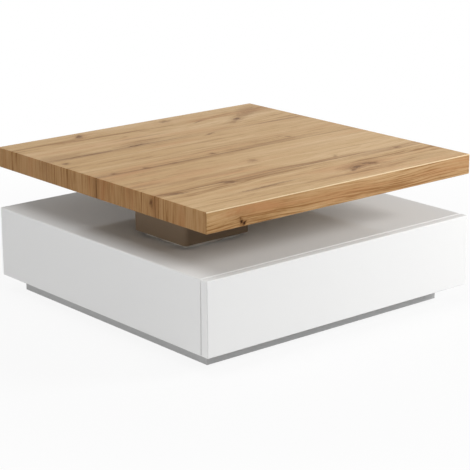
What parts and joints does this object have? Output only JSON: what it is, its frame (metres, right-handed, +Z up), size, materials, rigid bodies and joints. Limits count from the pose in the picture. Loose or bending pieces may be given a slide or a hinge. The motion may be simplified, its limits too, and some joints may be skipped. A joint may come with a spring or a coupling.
{
  "type": "swivel coffee table",
  "caption": "Square low table: oak-look board turns on an off-centre pedestal above a white gloss base box with a drawer and a recessed plinth.",
  "frame": {"origin": "on the floor, under the middle of the base box", "axes": "+Z up, -Y out of the drawer front, +X to the right of someone facing the drawer"},
  "size_m": [0.8, 0.8, 0.365],
  "materials": {
    "oak_decor": "oak-look plank decor, matt",
    "white_gloss": "white high-gloss lacquer on board",
    "plinth_grey": "silver-grey foil",
    "pedestal_grey": "dark grey lacquer on board",
    "core_board": "raw particle board and softwood",
    "underside": "plain tan backing foil",
    "drawer_white": "white foil, matt",
    "beech": "turned beech",
    "turntable_alloy": "turned and anodised",
    "bearing_steel": "polished",
    "zinc_steel": "zinc plated",
    "runner_white": "white epoxy coating",
    "nylon": "natural nylon",
    "cage_plastic": "moulded",
    "glide_plastic": "moulded"
  },
  "bodies": {
    "base": {"carcass_top": "white_gloss", "carcass_side_left": "white_gloss", "carcass_side_right": "white_gloss", "carcass_bottom": "white_gloss", "carcass_back": "white_gloss", "partition": "drawer_white", "carcass_dowels": "beech", "plinth_front": "plinth_grey", "plinth_back": "plinth_grey", "plinth_left": "plinth_grey", "plinth_right": "plinth_grey", "plinth_blocks": "core_board", "plinth_screws": "zinc_steel", "glides": "glide_plastic", "turntable_plate": "zinc_steel", "turntable_outer_ring": "turntable_alloy", "turntable_bolts": "zinc_steel", "runner_cabinet_left": "runner_white", "runner_cabinet_right": "runner_white", "runner_cabinet_screws": "zinc_steel", "front_roller_axles": "zinc_steel"},
    "tabletop": {"top_skin": "oak_decor", "edge_front": "oak_decor", "edge_back": "oak_decor", "edge_left": "oak_decor", "edge_right": "oak_decor", "underside_panel": "underside", "mount_board": "core_board", "top_battens": "core_board", "pedestal_shell": "pedestal_grey", "pedestal_top_plate": "core_board", "pedestal_bottom_plate": "core_board", "pedestal_screws": "zinc_steel", "turntable_inner_ring": "turntable_alloy", "turntable_screws": "zinc_steel"},
    "ball_ring": {"ball_cage": "cage_plastic", "bearing_balls": "bearing_steel"},
    "drawer": {"drawer_front": "white_gloss", "drawer_box_front": "drawer_white", "drawer_side_left": "drawer_white", "drawer_side_right": "drawer_white", "drawer_back": "drawer_white", "drawer_bottom": "drawer_white", "drawer_front_screws": "zinc_steel", "runner_drawer_left": "runner_white", "runner_drawer_right": "runner_white", "runner_drawer_screws": "zinc_steel", "rear_roller_axles": "zinc_steel"},
    "front_roller_pair": {"front_rollers": "nylon"},
    "rear_roller_pair": {"rear_rollers": "nylon"}
  },
  "joints": [
    {"name": "top_swivel", "type": "hinge", "parent": "base", "child": "tabletop", "pos_m": [-0.2, -0.098, 0.2209], "axis": [0, 0, 1], "continuous": true},
    {"name": "ball_orbit", "type": "hinge", "parent": "base", "child": "ball_ring", "pos_m": [-0.2, -0.098, 0.2209], "axis": [0, 0, 1], "continuous": true},
    {"name": "drawer_slide", "type": "slide", "parent": "base", "child": "drawer", "axis": [0, -1, 0], "range_m": [0, 0.34]},
    {"name": "front_roller_spin", "type": "hinge", "parent": "base", "child": "front_roller_pair", "pos_m": [0, -0.358, 0.0846], "axis": [1, 0, 0], "range_deg": [0, 2000]},
    {"name": "rear_roller_spin", "type": "hinge", "parent": "drawer", "child": "rear_roller_pair", "pos_m": [0, 0.056, 0.08405], "axis": [1, 0, 0], "range_deg": [0, 2000]}
  ],
  "couplings": [
    {"joint": "ball_orbit", "follows": "top_swivel", "ratio": 0.487},
    {"joint": "front_roller_spin", "follows": "drawer_slide", "rad_per_m": 100},
    {"joint": "rear_roller_spin", "follows": "drawer_slide", "rad_per_m": 100}
  ]
}
